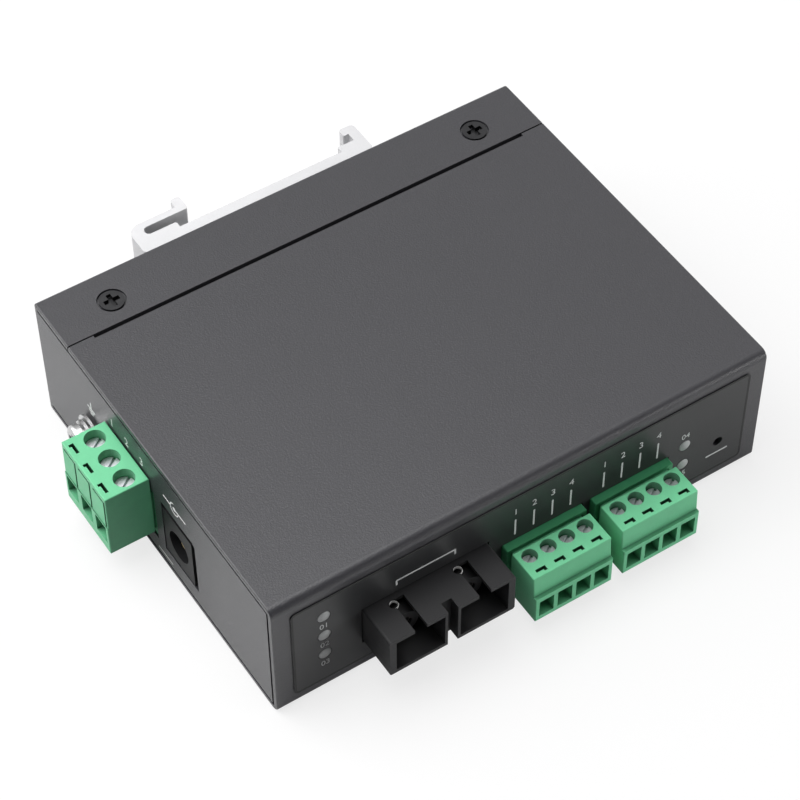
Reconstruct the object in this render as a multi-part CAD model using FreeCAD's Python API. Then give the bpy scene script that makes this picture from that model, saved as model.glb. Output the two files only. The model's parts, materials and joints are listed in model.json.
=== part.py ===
"""Converter between a two-wire field bus and optical fibre, in a folded sheet-metal case for a 35 mm rail.

Millimetres. The origin is the centre of the case's underside, +Z is up. The front panel with the fibre
port and the signal plugs faces -Y, the power end faces -X and the rail clip is on the back, +Y.
"""
import FreeCAD
import Part
import math
import os
from types import SimpleNamespace

V = FreeCAD.Vector
X_AXIS = V(1, 0, 0)
Y_AXIS = V(0, 1, 0)
Z_AXIS = V(0, 0, 1)

# Case of two folded sheets
CASE_LENGTH = 100.0
CASE_DEPTH = 79.5
CASE_HEIGHT = 28.5
SHEET = 1.0
FRONT_BEND = 1.6
BACK_BEND = 0.7
EDGE_BREAK = 0.25
STRIP_DEPTH = 12.2
SEAM_GAP = 0.3
WALL_GAP = 0.5
TAB_DEPTH = 9.0
TAB_SIDE_MARGIN = 5.0
JOGGLE_RUN = 0.6
CUTOUT_GAP = 0.2

# Flat-head screws of the case and of the rail clip
SCREW_D = 2.5
SCREW_HEAD_D = 4.6
SCREW_LENGTH = 4.5
SCREW_GAP = 0.05
SINK_D = 5.4
SINK_DEPTH = 0.5
RECESS_LENGTH = 3.0
RECESS_WIDTH = 0.9
RECESS_DEPTH = 0.9
CASE_SCREW_FROM_BACK = 7.0
CASE_SCREW_FROM_END = 11.7

# Film on the front panel
FILM = 0.2
FILM_SIDE_MARGIN = 3.4
FILM_EDGE_MARGIN = 3.0
FILM_ROUND = 1.0

# Circuit board and its posts
BOARD_LIFT = 2.8
BOARD_THICK = 1.6
BOARD_FRONT_MARGIN = 1.6
BOARD_BACK_MARGIN = 0.5
BOARD_END_MARGIN = 2.0
BOARD_SCREW_INSET = 4.0
POST_D = 5.0
BOARD_SCREW_D = 2.4
BOARD_SCREW_HEAD_D = 4.6
BOARD_SCREW_HEAD = 1.4
BOARD_HOLE_GAP = 0.1
TAIL_BELOW_BOARD = 1.0

# Clearances along the front panel from left to right: wall, status lamps, fibre port, plug, plug,
# link lamps, reset switch, wall. They share out the length that the pieces leave free.
GAP_WALL_LAMPS = 6.1
GAP_LAMPS_FIBRE = 4.9
GAP_FIBRE_PLUG = 3.0
GAP_PLUGS = 1.9
GAP_PLUG_LINK = 1.1
GAP_LINK_RESET = 2.1
GAP_RESET_WALL = 5.1

# Four-way signal plugs and their headers
SIGNAL_WAYS = 4
SIGNAL_PITCH = 3.81
SIGNAL_PLUG_SIDE = 2.3
SIGNAL_PLUG_HEIGHT = 11.0
SIGNAL_PLUG_RISE = -2.25
SIGNAL_PLUG_REACH = 10.1
SIGNAL_BAND_HEIGHT = 6.2
SIGNAL_BAND_STEP = 0.7
SIGNAL_FACE_LEAN = 0.3
SIGNAL_SHOULDER_GAP = 1.05
SIGNAL_HEADER_REACH = 1.7
SIGNAL_HEADER_DEPTH = 8.85
SIGNAL_HEADER_HEIGHT = 8.3
SIGNAL_HEADER_SIDE = 2.5
SIGNAL_HEADER_WALL = 0.8
SIGNAL_HEADER_REAR = 1.6
SIGNAL_PIN = 1.0
SIGNAL_SCREW_SETBACK = 5.5
SIGNAL_HEAD_D = 2.6
SIGNAL_HEAD_THICK = 1.2
SIGNAL_HEAD_SUNK = 1.6
SIGNAL_SHANK_D = 1.4
SIGNAL_WIRE_WIDTH = 3.0
SIGNAL_WIRE_HEIGHT = 4.0
SIGNAL_WIRE_FLOOR = 1.1
SIGNAL_CAGE_HEIGHT = 4.2
SIGNAL_CAGE_DEPTH = 2.6
SIGNAL_CAGE_BAR = 0.7
SIGNAL_CAGE_SIDE = 0.35
SIGNAL_CAGE_TRAVEL = 1.6
SIGNAL_SOCKET = 2.2
SIGNAL_NOTCH = 2.0
SIGNAL_SLOT_TURN = 35.0

# Three-way power plug and its header
POWER_WAYS = 3
POWER_PITCH = 5.08
POWER_PLUG_SIDE = 2.54
POWER_PLUG_HEIGHT = 14.8
POWER_PLUG_RISE = 0.8
POWER_PLUG_REACH = 8.9
POWER_BAND_HEIGHT = 6.9
POWER_BAND_STEP = 0.15
POWER_FACE_LEAN = 0.1
POWER_SHOULDER_GAP = 0.45
POWER_HEADER_REACH = -0.3
POWER_HEADER_DEPTH = 11.5
POWER_HEADER_HEIGHT = 12.4
POWER_HEADER_SIDE = 3.2
POWER_HEADER_WALL = 1.0
POWER_HEADER_REAR = 1.8
POWER_PIN = 1.2
POWER_SCREW_SETBACK = 5.4
POWER_HEAD_D = 3.6
POWER_HEAD_THICK = 1.6
POWER_HEAD_SUNK = 2.0
POWER_SHANK_D = 2.2
POWER_WIRE_WIDTH = 3.7
POWER_WIRE_HEIGHT = 4.2
POWER_WIRE_FLOOR = 2.4
POWER_CAGE_HEIGHT = 5.4
POWER_CAGE_DEPTH = 3.6
POWER_CAGE_BAR = 0.9
POWER_CAGE_SIDE = 0.45
POWER_CAGE_TRAVEL = 2.0
POWER_SOCKET = 2.8
POWER_NOTCH = 2.4
POWER_SLOT_TURN = 125.0
POWER_GROOVE = 0.5
POWER_GROOVE_SHALLOW = 0.4
POWER_GROOVE_DEEP = 0.75
POWER_GROOVE_BELOW_TOP = 1.0
POWER_FROM_BACK = 32.05

# Fits shared by every plug
NOSE_GAP = 0.25
PIN_GAP = 0.1
HEAD_GAP = 0.15
CAGE_GAP = 0.12
STRIP = 0.5
NOTCH_WIDTH = 0.6
NOTCH_FROM_EDGE = 1.25
NOTCH_TICK = 0.65
NOTCH_DEPTH = 1.8
PLUG_FRONT_WALL = 1.1
PLUG_EDGE_ROUND = 0.2
SLOT_WIDTH = 0.5
SLOT_DEPTH = 0.6

# Duplex fibre receptacle
FIBRE_PITCH = 12.7
FIBRE_WIDTH = 25.0
FIBRE_HEIGHT = 9.1
FIBRE_RISE = 2.4
FIBRE_REACH = 8.4
FIBRE_INSIDE = 9.7
FIBRE_CAVITY_WIDTH = 9.6
FIBRE_CAVITY_HEIGHT = 7.5
FIBRE_CAVITY_DEPTH = 12.0
FIBRE_KEY_WIDTH = 2.4
FIBRE_KEY_LENGTH = 7.2
FIBRE_EYE_D = 1.7
FIBRE_SPLIT = 2.0
FIBRE_SPLIT_DEPTH = 2.2
FIBRE_EDGE_ROUND = 0.5
FIBRE_FOOT = 3.0
SLEEVE_D = 4.0
SLEEVE_BORE = 2.5
SLEEVE_LENGTH = 6.5
SLEEVE_HOLDER_D = 5.4
SLEEVE_LIP = 0.6
SHIELD_DEPTH = 15.0
SHIELD_TOP_STEP = 0.3

# Barrel power jack
JACK_FROM_BACK = 48.05
JACK_WIDTH = 9.6
JACK_HEIGHT = 11.6
JACK_DEPTH = 14.0
JACK_AXIS_RISE = 5.5
JACK_HOLE_D = 6.3
JACK_HOLE_DEPTH = 9.5
JACK_PIN_D = 2.1
JACK_PIN_SUNK = 1.0
JACK_FACE_SUNK = 0.1
JACK_GAP = 1.4
JACK_CUTOUT_ROUND = 1.2

# Earth screw with its washers
EARTH_FROM_BACK = 18.85
EARTH_HEIGHT = 12.3
EARTH_D = 3.0
EARTH_HEAD_D = 5.6
EARTH_HEAD = 1.7
EARTH_HEAD_ROUND = 0.8
EARTH_LENGTH = 8.0
EARTH_WALL_PLAY = 0.6
EARTH_WASHER_PLAY = 0.3
EARTH_HEAD_PLAY = 0.5
WASHER_D = 7.4
WASHER = 0.5
LOCK_WASHER_D = 6.0
LOCK_WASHER = 0.6
LOCK_SPLIT = 0.8

# Lamps in their holders, and the reset switch
LAMP_D = 2.4
LAMP_HOLE_GAP = 0.1
LAMP_PITCH = 5.2
LAMP_LENGTH = 6.0
LAMP_DOME = 0.35
STATUS_LAMPS = 3
STATUS_LOW_RISE = 4.9
LINK_LAMPS = 2
LINK_LOW_RISE = 3.9
HOLDER_WIDTH = 5.0
HOLDER_DEPTH = 6.0
HOLDER_TOP = 2.5
PANEL_GAP = 0.3
RESET_HOLE_D = 2.0
RESET_RISE = 5.2
RESET_WIDTH = 6.0
RESET_HEIGHT = 8.2
RESET_DEPTH = 5.0
RESET_BUTTON_D = 2.6
RESET_BUTTON_REACH = 1.0
RESET_BUTTON_SEAT = 2.0
RESET_TRAVEL = 0.3
RESET_GAP = 0.08

# Rail clip, an extrusion that hooks a 35 mm rail
RAIL_WIDTH = 35.0
RAIL_CENTRE = 1.05
RAIL_PLAY = 0.05
CLIP_EDGE = 0.5
CLIP_BASE = 2.2
CLIP_PAD = 3.55
CLIP_SLOT = 1.9
CLIP_SLOT_ROUND = 0.93
CLIP_SLOT_DEPTH = 9.5
CLIP_ARM = 1.35
CLIP_BEND = 2.5
CLIP_PAD_SETBACK = 3.5
CLIP_ARM_GRIP = 0.75
CLIP_HOOK_GRIP = 1.05
CLIP_HOOK = 1.8
CLIP_LEG = 2.0
CLIP_NIB = 2.0
CLIP_NIB_WIDTH = 1.9
CLIP_HOOK_PAD = 3.5
CLIP_SCREW_SPACING = 20.0

# Components on the board
CHIP_THICK = 1.6
CONTROLLER = 12.0
DRIVER_LENGTH = 8.0
DRIVER_WIDTH = 6.0
MODULE_LENGTH = 19.5
MODULE_WIDTH = 10.0
MODULE_HEIGHT = 9.0
CAPACITOR_D = 8.0
CAPACITOR_HEIGHT = 11.5
CAPACITOR_BASE = 1.2
CAPACITOR_BASE_MARGIN = 0.4
CHIP_SPACING = 4.0
MODULE_FROM_END = 25.0

# Places that the sizes above lead to
half_length = CASE_LENGTH / 2
front = -CASE_DEPTH / 2
back = CASE_DEPTH / 2
left = -half_length
middle_height = CASE_HEIGHT / 2
seam = back - STRIP_DEPTH
board_bottom = SHEET + BOARD_LIFT
board_top = board_bottom + BOARD_THICK

signal = SimpleNamespace(
    ways=SIGNAL_WAYS, pitch=SIGNAL_PITCH, plug_side=SIGNAL_PLUG_SIDE, plug_height=SIGNAL_PLUG_HEIGHT,
    rise=SIGNAL_PLUG_RISE, reach=SIGNAL_PLUG_REACH, band_height=SIGNAL_BAND_HEIGHT,
    band_step=SIGNAL_BAND_STEP, lean=SIGNAL_FACE_LEAN, shoulder_gap=SIGNAL_SHOULDER_GAP,
    header_reach=SIGNAL_HEADER_REACH,
    header_depth=SIGNAL_HEADER_DEPTH, header_height=SIGNAL_HEADER_HEIGHT, header_side=SIGNAL_HEADER_SIDE,
    wall=SIGNAL_HEADER_WALL, rear=SIGNAL_HEADER_REAR, pin=SIGNAL_PIN, screw_setback=SIGNAL_SCREW_SETBACK,
    head_d=SIGNAL_HEAD_D, head_thick=SIGNAL_HEAD_THICK, head_sunk=SIGNAL_HEAD_SUNK, shank_d=SIGNAL_SHANK_D,
    wire_width=SIGNAL_WIRE_WIDTH, wire_height=SIGNAL_WIRE_HEIGHT, wire_floor=SIGNAL_WIRE_FLOOR,
    cage_height=SIGNAL_CAGE_HEIGHT, cage_depth=SIGNAL_CAGE_DEPTH, bar=SIGNAL_CAGE_BAR,
    cage_side=SIGNAL_CAGE_SIDE, travel=SIGNAL_CAGE_TRAVEL, socket=SIGNAL_SOCKET, notch=SIGNAL_NOTCH, tick=1,
    slot_turn=SIGNAL_SLOT_TURN)

power = SimpleNamespace(
    ways=POWER_WAYS, pitch=POWER_PITCH, plug_side=POWER_PLUG_SIDE, plug_height=POWER_PLUG_HEIGHT,
    rise=POWER_PLUG_RISE, reach=POWER_PLUG_REACH, band_height=POWER_BAND_HEIGHT, band_step=POWER_BAND_STEP,
    lean=POWER_FACE_LEAN, shoulder_gap=POWER_SHOULDER_GAP, header_reach=POWER_HEADER_REACH,
    header_depth=POWER_HEADER_DEPTH, header_height=POWER_HEADER_HEIGHT, header_side=POWER_HEADER_SIDE,
    wall=POWER_HEADER_WALL, rear=POWER_HEADER_REAR, pin=POWER_PIN, screw_setback=POWER_SCREW_SETBACK,
    head_d=POWER_HEAD_D, head_thick=POWER_HEAD_THICK, head_sunk=POWER_HEAD_SUNK, shank_d=POWER_SHANK_D,
    wire_width=POWER_WIRE_WIDTH, wire_height=POWER_WIRE_HEIGHT, wire_floor=POWER_WIRE_FLOOR,
    cage_height=POWER_CAGE_HEIGHT, cage_depth=POWER_CAGE_DEPTH, bar=POWER_CAGE_BAR,
    cage_side=POWER_CAGE_SIDE, travel=POWER_CAGE_TRAVEL, socket=POWER_SOCKET, notch=POWER_NOTCH, tick=-1,
    slot_turn=POWER_SLOT_TURN)


def header_width(size):
    """Width of a header: its outer ways and a closed wall beyond each."""
    return (size.ways - 1) * size.pitch + 2 * size.header_side


def plug_width(size):
    """Width of a plug's body."""
    return (size.ways - 1) * size.pitch + 2 * size.plug_side


def spread_front():
    """Centres of the pieces along the front, with the free length shared out in the design's ratio."""
    plug = header_width(signal)
    widths = (HOLDER_WIDTH, FIBRE_WIDTH, plug, plug, HOLDER_WIDTH, RESET_WIDTH)
    gaps = (GAP_WALL_LAMPS, GAP_LAMPS_FIBRE, GAP_FIBRE_PLUG, GAP_PLUGS, GAP_PLUG_LINK, GAP_LINK_RESET,
            GAP_RESET_WALL)
    free = CASE_LENGTH - 2 * SHEET - sum(widths)
    share = free / sum(gaps)
    place = left + SHEET
    centres = []
    for gap, width in zip(gaps, widths):
        place += gap * share
        centres.append(place + width / 2)
        place += width
    return centres


status_x, fibre_x, plug_b_x, plug_a_x, link_x, reset_x = spread_front()
power_y = back - POWER_FROM_BACK
jack_y = back - JACK_FROM_BACK
earth_y = back - EARTH_FROM_BACK
flat_washer_x = left - EARTH_WALL_PLAY
spring_washer_x = flat_washer_x - WASHER - EARTH_WASHER_PLAY


def block(x0, x1, y0, y1, z0, z1):
    """Box between two corners."""
    return Part.makeBox(x1 - x0, y1 - y0, z1 - z0, V(x0, y0, z0))


def centred(x, width, y0, y1, z0, z1):
    """Box that is centred on x."""
    return block(x - width / 2, x + width / 2, y0, y1, z0, z1)


def rod(base, axis, diameter, length):
    """Round bar from a base point along an axis."""
    return Part.makeCylinder(diameter / 2, length, base, axis)


def join(pieces):
    """One solid out of pieces that touch or overlap."""
    return pieces[0].multiFuse(pieces[1:]).removeSplitter()


def outline(corners, place):
    """Closed outline of straight runs, where a corner's third number is the radius of its round."""
    edges = []
    ends = []
    count = len(corners)
    for i, (a, b, radius) in enumerate(corners):
        corner = place(a, b)
        before = place(*corners[i - 1][:2]) - corner
        after = place(*corners[(i + 1) % count][:2]) - corner
        before.normalize()
        after.normalize()
        if radius == 0:
            ends.append((corner, corner))
            continue
        half_angle = before.getAngle(after) / 2
        bisector = before + after
        bisector.normalize()
        start = corner + before * (radius / math.tan(half_angle))
        stop = corner + after * (radius / math.tan(half_angle))
        crown = corner + bisector * (radius / math.sin(half_angle) - radius)
        edges.append(Part.Arc(start, crown, stop).toShape())
        ends.append((start, stop))
    for i in range(count):
        edges.append(Part.LineSegment(ends[i - 1][1], ends[i][0]).toShape())
    return Part.Wire(Part.__sortEdges__(edges))


def slab(corners, place, direction):
    """Outline filled and extruded."""
    return Part.Face(outline(corners, place)).extrude(direction)


def side_view(x):
    """Plane of a section across the case's length."""
    return lambda y, z: V(x, y, z)


def plan_view(z):
    """Plane of a section seen from above."""
    return lambda x, y: V(x, y, z)


def save(name, shape):
    """Write one piece, or a group of like pieces, to its own file."""
    if isinstance(shape, list):
        shape = Part.makeCompound(shape)
    shape.exportStep("parts/" + name + ".step")


def flat_screw(top, axis, gap=0.0):
    """Flat-head screw whose head is flush at top, with its axis pointing into the work."""
    head_depth = (SCREW_HEAD_D - SCREW_D) / 2
    head = Part.makeCone(SCREW_HEAD_D / 2 + gap, SCREW_D / 2 + gap, head_depth, top, axis)
    shank = rod(top + axis * head_depth, axis, SCREW_D + 2 * gap, SCREW_LENGTH - head_depth)
    return head.fuse(shank)


def screw_seat(top, axis):
    """Tool for a flat-head screw's hole, whose wider mouth leaves a ring open round the head."""
    return flat_screw(top, axis, SCREW_GAP).fuse(rod(top, axis, SINK_D, SINK_DEPTH))


def recessed_screw(top, axis):
    """Flat-head screw with a cross recess."""
    screw = flat_screw(top, axis).removeSplitter()
    long_way = X_AXIS
    wide_way = axis.cross(long_way)
    for length_way, width_way in ((long_way, wide_way), (wide_way, long_way)):
        corner = top - length_way * (RECESS_LENGTH / 2) - width_way * (RECESS_WIDTH / 2)
        edges = [corner, corner + length_way * RECESS_LENGTH,
                 corner + length_way * RECESS_LENGTH + width_way * RECESS_WIDTH,
                 corner + width_way * RECESS_WIDTH, corner]
        slot = Part.Face(Part.makePolygon(edges)).extrude(axis * RECESS_DEPTH)
        screw = screw.cut(slot)
    return screw


def case_screw_tops():
    """Where the case screws' heads are flush, and which way each points into the case."""
    places = []
    for z, axis in ((CASE_HEIGHT, -Z_AXIS), (0, Z_AXIS)):
        for x in (left + CASE_SCREW_FROM_END, half_length - CASE_SCREW_FROM_END):
            places.append((V(x, back - CASE_SCREW_FROM_BACK, z), axis))
    return places


clip_left_rail = RAIL_CENTRE - RAIL_WIDTH / 2
clip_right_rail = RAIL_CENTRE + RAIL_WIDTH / 2
clip_arm_end = clip_left_rail + CLIP_ARM_GRIP
clip_slot_end = clip_arm_end - CLIP_SLOT_DEPTH
clip_left = clip_slot_end - CLIP_BEND
clip_pocket = clip_right_rail + RAIL_PLAY
clip_right = clip_pocket + CLIP_LEG
clip_centre = (clip_left + clip_right) / 2


def clip_screw_tops():
    """Where the clip screws' heads are flush with the clip's base."""
    places = []
    for side in (-1, 1):
        x = clip_centre + side * CLIP_SCREW_SPACING / 2
        places.append((V(x, back + CLIP_BASE, middle_height), -Y_AXIS))
    return places


def lamp_heights(low_rise, count):
    """Heights of a column of lamps."""
    return [board_top + low_rise + i * LAMP_PITCH for i in range(count)]


status_heights = lamp_heights(STATUS_LOW_RISE, STATUS_LAMPS)
link_heights = lamp_heights(LINK_LOW_RISE, LINK_LAMPS)
reset_height = board_top + RESET_RISE


def panel_cutouts(y0, y1):
    """Tools that open a sheet of the front panel for everything that shows there."""
    fibre_low = board_top + FIBRE_RISE
    tools = [centred(fibre_x, FIBRE_WIDTH + 2 * CUTOUT_GAP, y0, y1,
                     fibre_low - CUTOUT_GAP, fibre_low + FIBRE_HEIGHT + CUTOUT_GAP)]
    for x in (plug_a_x, plug_b_x):
        tools.append(centred(x, header_width(signal) + 2 * CUTOUT_GAP, y0, y1,
                             board_top - CUTOUT_GAP, board_top + SIGNAL_HEADER_HEIGHT + CUTOUT_GAP))
    for x, heights in ((status_x, status_heights), (link_x, link_heights)):
        for z in heights:
            tools.append(rod(V(x, y0, z), Y_AXIS, LAMP_D + 2 * LAMP_HOLE_GAP, y1 - y0))
    tools.append(rod(V(reset_x, y0, reset_height), Y_AXIS, RESET_HOLE_D, y1 - y0))
    return tools


def eased_ends(sheet, open_y):
    """Break the outer edges at both ends of a folded sheet, all but those of its open side."""
    edges = []
    for edge in sheet.Edges:
        box = edge.BoundBox
        on_open_side = box.YLength < EDGE_BREAK and abs(box.YMin - open_y) < EDGE_BREAK
        if box.XLength < EDGE_BREAK and not on_open_side:
            edges.append(edge)
    return sheet.makeFillet(EDGE_BREAK, edges)


def make_front_cover():
    """Top, front and bottom folded from one sheet, with a stepped-down tab under each rear strip."""
    def shell(inset):
        bend = FRONT_BEND - inset
        corners = [(seam - SEAM_GAP, inset, 0), (front + inset, inset, bend),
                   (front + inset, CASE_HEIGHT - inset, bend), (seam - SEAM_GAP, CASE_HEIGHT - inset, 0)]
        return slab(corners, side_view(left), X_AXIS * CASE_LENGTH)

    cover = eased_ends(shell(0), seam - SEAM_GAP).cut(shell(SHEET))
    tab_length = CASE_LENGTH - 2 * TAB_SIDE_MARGIN
    tab_start = left + TAB_SIDE_MARGIN
    rim = seam - SEAM_GAP
    for face, inward in ((CASE_HEIGHT, -1), (0, 1)):
        under = face + inward * SHEET
        deep = face + inward * 2 * SHEET
        notch = block(tab_start, tab_start + tab_length, rim - 2 * JOGGLE_RUN, rim,
                      min(face, under), max(face, under))
        tab = slab([(rim - 2 * JOGGLE_RUN, face, 0), (rim - JOGGLE_RUN, face, 0), (rim, under, 0),
                    (rim + TAB_DEPTH, under, 0), (rim + TAB_DEPTH, deep, 0), (rim - JOGGLE_RUN, deep, 0),
                    (rim - 2 * JOGGLE_RUN, under, 0)],
                   side_view(tab_start), X_AXIS * tab_length)
        cover = cover.cut(notch).fuse(tab)
    tools = panel_cutouts(front, front + SHEET)
    for top, axis in case_screw_tops():
        tools.append(screw_seat(top, axis))
    return cover.cut(tools).removeSplitter()


def make_rear_chassis():
    """Back, two ends and the two screwed strips folded from one sheet."""
    back_shell = slab([(seam, 0, 0), (back, 0, BACK_BEND), (back, CASE_HEIGHT, BACK_BEND),
                       (seam, CASE_HEIGHT, 0)], side_view(left), X_AXIS * CASE_LENGTH)
    back_hollow = block(left, half_length, seam, back - SHEET, SHEET, CASE_HEIGHT - SHEET)
    pieces = [eased_ends(back_shell, seam).cut(back_hollow)]
    for x in (left, half_length - SHEET):
        pieces.append(block(x, x + SHEET, front + SHEET + WALL_GAP, back - SHEET,
                            SHEET + WALL_GAP, CASE_HEIGHT - SHEET - WALL_GAP))
    chassis = join(pieces)
    power_half = header_width(power) / 2 + CUTOUT_GAP
    jack_right = jack_y - JACK_WIDTH / 2 - JACK_GAP
    jack_left = jack_y + JACK_WIDTH / 2 + CUTOUT_GAP
    jack_low = board_top - CUTOUT_GAP
    jack_high = board_top + JACK_HEIGHT + JACK_GAP
    tools = [block(left, left + SHEET, power_y - power_half, power_y + power_half,
                   board_top - CUTOUT_GAP, board_top + POWER_HEADER_HEIGHT + CUTOUT_GAP),
             slab([(jack_right, jack_low, 0), (jack_left, jack_low, 0), (jack_left, jack_high, 0),
                   (jack_right, jack_high, JACK_CUTOUT_ROUND)], side_view(left), X_AXIS * SHEET),
             rod(V(left, earth_y, EARTH_HEIGHT), X_AXIS, EARTH_D + 2 * SCREW_GAP, SHEET)]
    for top, axis in case_screw_tops() + clip_screw_tops():
        tools.append(screw_seat(top, axis))
    return chassis.cut(tools).removeSplitter()


def make_front_film():
    """Dark film stuck on the front panel, open where the panel is."""
    x0, x1 = left + FILM_SIDE_MARGIN, half_length - FILM_SIDE_MARGIN
    z0, z1 = FILM_EDGE_MARGIN, CASE_HEIGHT - FILM_EDGE_MARGIN
    corners = [(x, z, FILM_ROUND) for x, z in ((x0, z0), (x1, z0), (x1, z1), (x0, z1))]
    film = slab(corners, lambda x, z: V(x, front - FILM, z), Y_AXIS * FILM)
    return film.cut(panel_cutouts(front - FILM, front))


def make_rail_clip():
    """Extruded clip: a sprung slot takes one flange of the rail and a short hook the other."""
    arm_low = CLIP_PAD + CLIP_SLOT
    arm_top = arm_low + CLIP_ARM
    hook_tip = clip_right_rail - CLIP_HOOK_GRIP
    pad_end = clip_arm_end - CLIP_PAD_SETBACK
    corners = [
        (clip_left, 0, CLIP_ARM / 2), (clip_right, 0, CLIP_ARM / 2),
        (clip_right, arm_low + CLIP_HOOK, CLIP_LEG / 2), (hook_tip, arm_low + CLIP_HOOK, CLIP_HOOK / 3),
        (hook_tip, arm_low, CLIP_HOOK / 6), (clip_pocket, arm_low, RAIL_PLAY),
        (clip_pocket, CLIP_PAD, RAIL_PLAY),
        (clip_pocket - CLIP_HOOK_PAD, CLIP_PAD, 0), (clip_pocket - CLIP_HOOK_PAD, CLIP_BASE, 0),
        (pad_end, CLIP_BASE, 0), (pad_end, CLIP_PAD, CLIP_ARM / 3),
        (clip_slot_end, CLIP_PAD, CLIP_SLOT_ROUND), (clip_slot_end, arm_low, CLIP_SLOT_ROUND),
        (clip_arm_end, arm_low, CLIP_ARM / 3), (clip_arm_end, arm_top + CLIP_NIB, CLIP_NIB_WIDTH / 3),
        (clip_arm_end - CLIP_NIB_WIDTH, arm_top + CLIP_NIB, CLIP_NIB_WIDTH / 3),
        (clip_arm_end - CLIP_NIB_WIDTH, arm_top, 0), (clip_left, arm_top, CLIP_BEND)]
    clip = slab([(x, back + y, radius) for x, y, radius in corners], plan_view(CLIP_EDGE),
                Z_AXIS * (CASE_HEIGHT - 2 * CLIP_EDGE))
    return clip.cut([screw_seat(top, axis) for top, axis in clip_screw_tops()])


def way_places(size):
    """Places of the ways along a connector, which is centred on its own zero."""
    return [(i - (size.ways - 1) / 2) * size.pitch for i in range(size.ways)]


def clamp_levels(size):
    """Heights and depths inside a plug that its body, cages, screws and contacts share."""
    floor = size.rise + size.wire_floor
    cage_low = floor + SCREW_GAP
    bar_under = cage_low + size.cage_height - size.bar
    top = size.rise + size.plug_height
    return SimpleNamespace(
        band_top=size.rise + size.band_height, face=-size.reach + size.band_step,
        floor=floor, cage_low=cage_low, bar_under=bar_under, top=top,
        roof=cage_low + size.cage_height + size.travel + SCREW_GAP,
        head_top=top - size.head_sunk, seat=top - size.head_sunk - size.head_thick,
        strip_top=bar_under - SCREW_GAP, screw_y=-size.reach + size.screw_setback,
        cage_width=size.wire_width - 2 * CAGE_GAP,
        riser=-size.reach + size.screw_setback + size.cage_depth / 2 + CAGE_GAP,
        shoulder=-size.header_reach - size.shoulder_gap,
        socket_rear=-size.header_reach + size.header_depth - size.rear,
        pin_height=size.header_height / 2)


def make_header(size):
    """Open-fronted header that stands on the board, with a hole for each pin through its rear wall."""
    width = header_width(size)
    levels = clamp_levels(size)
    half = width / 2
    body = slab([(-half, 0, 0), (half, 0, 0), (half, size.header_height, PLUG_EDGE_ROUND),
                 (-half, size.header_height, PLUG_EDGE_ROUND)],
                lambda x, z: V(x, -size.header_reach, z), Y_AXIS * size.header_depth)
    socket = centred(0, width - 2 * size.wall, -size.header_reach, levels.socket_rear,
                     size.wall, size.header_height - size.wall)
    pins = make_header_pins(size)
    return body.cut(socket).cut(pins)


def pin_tail_y(size):
    """Where a header pin turns down to the board, just behind the header."""
    return -size.header_reach + size.header_depth + size.pin / 2


def make_header_pins(size):
    """Square pins that run through the rear wall and turn down through the board."""
    levels = clamp_levels(size)
    tip = -size.header_reach + size.wall
    tail = pin_tail_y(size)
    foot = -BOARD_THICK - TAIL_BELOW_BOARD
    half = size.pin / 2
    pins = []
    for x in way_places(size):
        corners = [(tip, levels.pin_height + half, half / 3), (tail + half, levels.pin_height + half, half),
                   (tail + half, foot, 0), (tail - half, foot, 0), (tail - half, levels.pin_height - half, 0),
                   (tip, levels.pin_height - half, half / 3)]
        pins.append(slab(corners, side_view(x - half), X_AXIS * size.pin))
    return pins


def plug_block(size):
    """Plug before it is opened: a band at the foot, a leaning face above it, and eased edges all round."""
    levels = clamp_levels(size)
    half = plug_width(size) / 2
    ease = PLUG_EDGE_ROUND
    side = slab([(levels.shoulder, size.rise, 0), (-size.reach, size.rise, ease),
                 (-size.reach, levels.band_top, 0), (levels.face, levels.band_top, 0),
                 (levels.face + size.lean, levels.top, ease),
                 (levels.shoulder, levels.top, ease)], side_view(-half), X_AXIS * plug_width(size))
    end = slab([(-half, size.rise, ease), (half, size.rise, ease), (half, levels.top, ease),
                (-half, levels.top, ease)],
               lambda x, z: V(x, -size.reach, z), Y_AXIS * (levels.shoulder + size.reach))
    band = slab([(-half, -size.reach, ease), (half, -size.reach, ease), (half, levels.shoulder, 0),
                 (-half, levels.shoulder, 0)], plan_view(size.rise), Z_AXIS * size.band_height)
    upper = slab([(-half, levels.face, ease), (half, levels.face, ease), (half, levels.shoulder, 0),
                  (-half, levels.shoulder, 0)], plan_view(levels.band_top),
                 V(0, size.lean, levels.top - levels.band_top))
    return side.common(end).common(band.fuse(upper))


def panel_grooves(size, x):
    """Grooves along the top and one side of the panel above a wire mouth, the side one deeper at its top."""
    levels = clamp_levels(size)
    outside = -size.reach - POWER_GROOVE
    high = levels.top - POWER_GROOVE_BELOW_TOP
    edge = x + size.wire_width / 2
    down = slab([(outside, levels.band_top, 0), (levels.face + POWER_GROOVE_SHALLOW, levels.band_top, 0),
                 (levels.face + size.lean + POWER_GROOVE_DEEP, high, 0), (outside, high, 0)],
                side_view(edge - POWER_GROOVE / 4), X_AXIS * POWER_GROOVE)
    across = block(x - size.wire_width / 2, edge, outside, levels.face + size.lean + POWER_GROOVE_SHALLOW,
                   high - POWER_GROOVE, high)
    return [down, across]


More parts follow.
